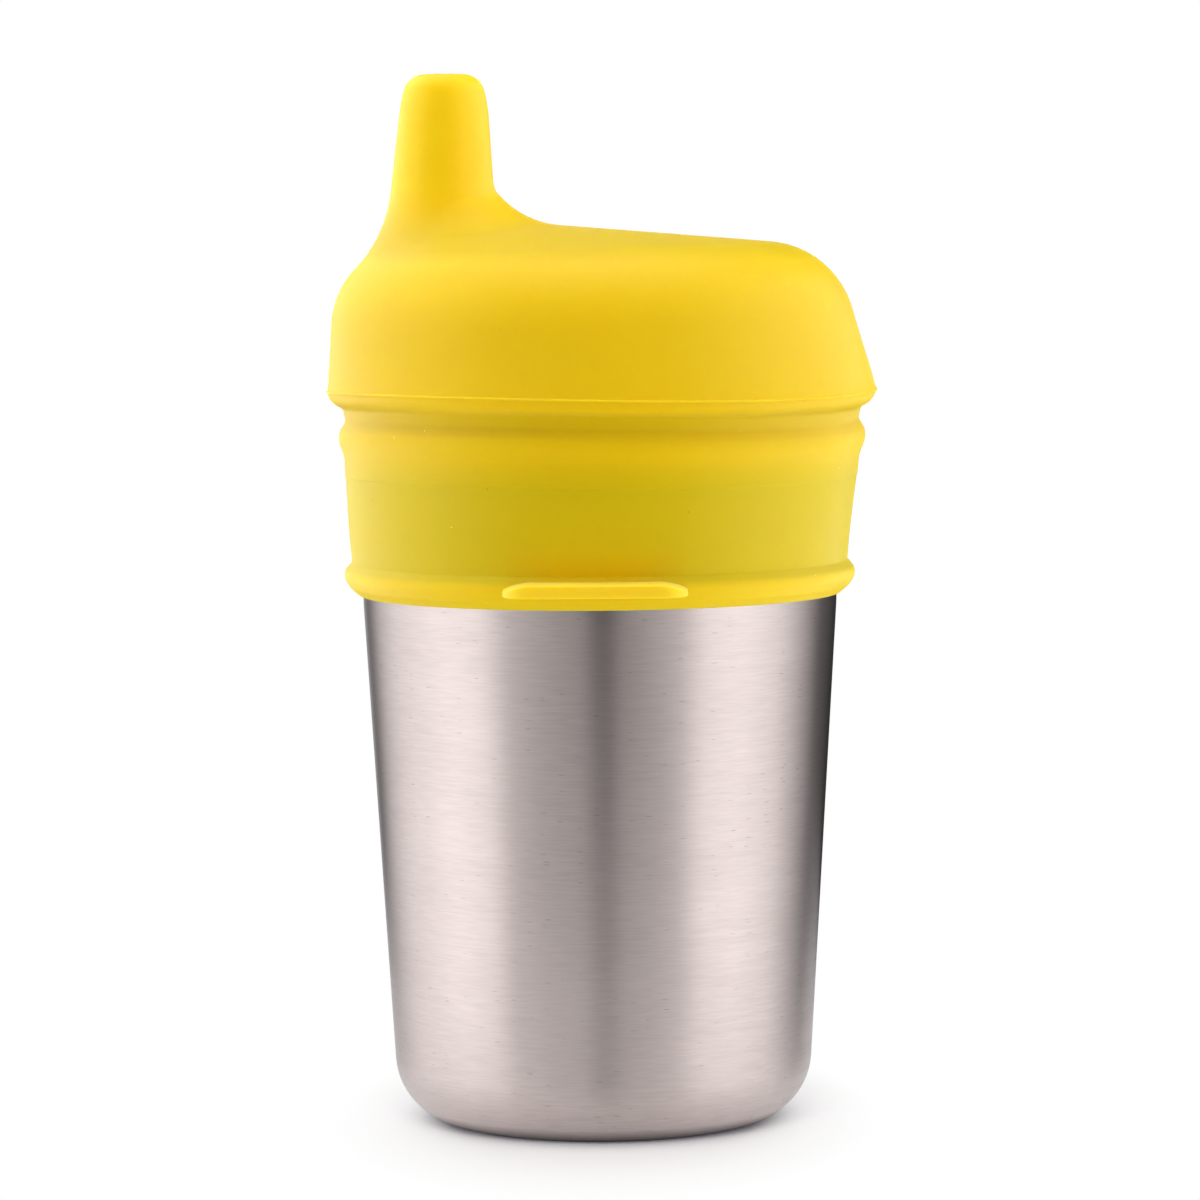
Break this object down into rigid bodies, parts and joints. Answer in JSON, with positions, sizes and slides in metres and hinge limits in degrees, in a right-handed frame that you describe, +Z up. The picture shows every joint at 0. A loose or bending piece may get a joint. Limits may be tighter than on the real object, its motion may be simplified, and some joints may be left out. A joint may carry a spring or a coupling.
{
  "type": "sippy cup",
  "caption": "Tapered steel drinking cup for a small child, with a stretch-on silicone lid that has a soft spout and pull tabs.",
  "frame": {"origin": "centre of the cup's base, on the surface that the cup stands on", "axes": "+Z up along the cup's axis, -X towards the spout, -Y towards the pull tab that the picture shows"},
  "size_m": [0.0732, 0.0786, 0.1399],
  "materials": {
    "brushed_steel": "fine brushing round the cup",
    "yellow_silicone": "satin, slightly see-through where it is thin"
  },
  "bodies": {
    "cup": {"steel_cup": "brushed_steel"},
    "lid": {"silicone_lid": "yellow_silicone"}
  },
  "joints": [
    {"name": "lid_lift", "type": "slide", "parent": "cup", "child": "lid", "axis": [0, 0, 1], "range_m": [0, 0.06]}
  ]
}
